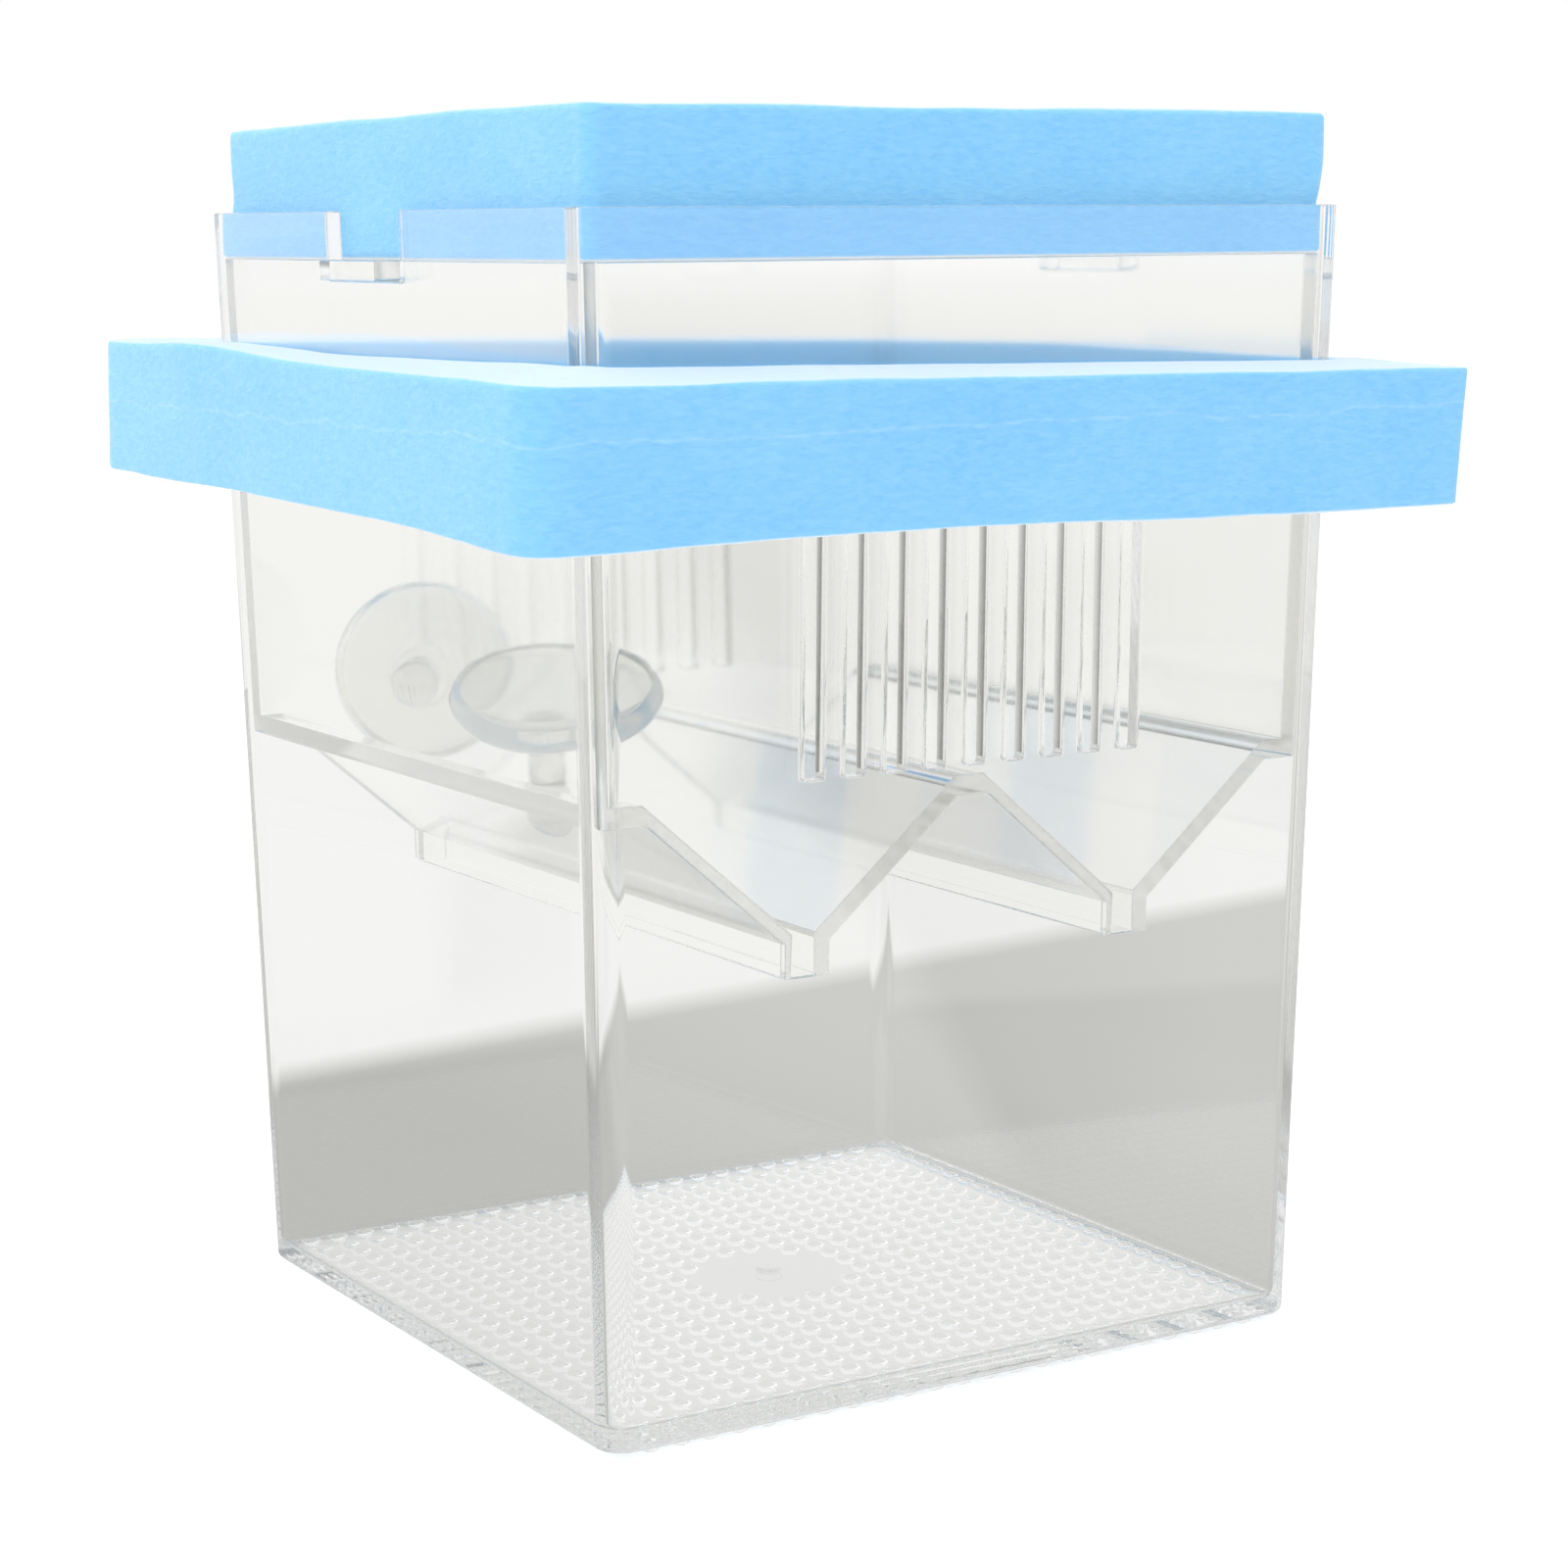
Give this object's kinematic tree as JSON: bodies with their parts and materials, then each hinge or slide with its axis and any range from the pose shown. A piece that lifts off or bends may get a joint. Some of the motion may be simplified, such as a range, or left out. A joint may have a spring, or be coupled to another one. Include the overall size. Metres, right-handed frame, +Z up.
{
  "type": "fish breeding box",
  "caption": "Clear drafted fish breeding box with water slots that hangs in a blue foam float ring, with a clear spawning insert with a W-shaped floor, a foam lid and loose suction cups.",
  "frame": {"origin": "middle of the outer box's base, on the surface it stands on", "axes": "+Z up, the slotted front wall faces -Y, the hanging ears point along +X and -X"},
  "size_m": [0.1236, 0.1172, 0.1445],
  "materials": {
    "clear_shell": "gloss",
    "clear_insert": "gloss",
    "blue_foam": "matte",
    "clear_vinyl": "satin"
  },
  "bodies": {
    "outer_box": {"outer_box": "clear_shell"},
    "inner_box": {"inner_box": "clear_insert"},
    "float_ring": {"float_ring": "blue_foam"},
    "foam_lid": {"foam_lid": "blue_foam"},
    "suction_cup_a": {"suction_cup_a": "clear_vinyl"},
    "suction_cup_b": {"suction_cup_b": "clear_vinyl"}
  },
  "joints": [
    {"name": "inner_box_lift", "type": "slide", "parent": "outer_box", "child": "inner_box", "axis": [0, 0, 1], "range_m": [0, 0.1]},
    {"name": "foam_lid_lift", "type": "slide", "parent": "inner_box", "child": "foam_lid", "axis": [0, 0, 1], "range_m": [0, 0.06]},
    {"name": "suction_cup_a_lift", "type": "slide", "parent": "inner_box", "child": "suction_cup_a", "axis": [0, 0, 1], "range_m": [0, 0.035]},
    {"name": "suction_cup_b_lift", "type": "slide", "parent": "inner_box", "child": "suction_cup_b", "axis": [0, 0, 1], "range_m": [0, 0.035]},
    {"name": "float_ring_slide", "type": "slide", "parent": "outer_box", "child": "float_ring", "axis": [0, 0, 1], "range_m": [-0.095, 0]}
  ]
}
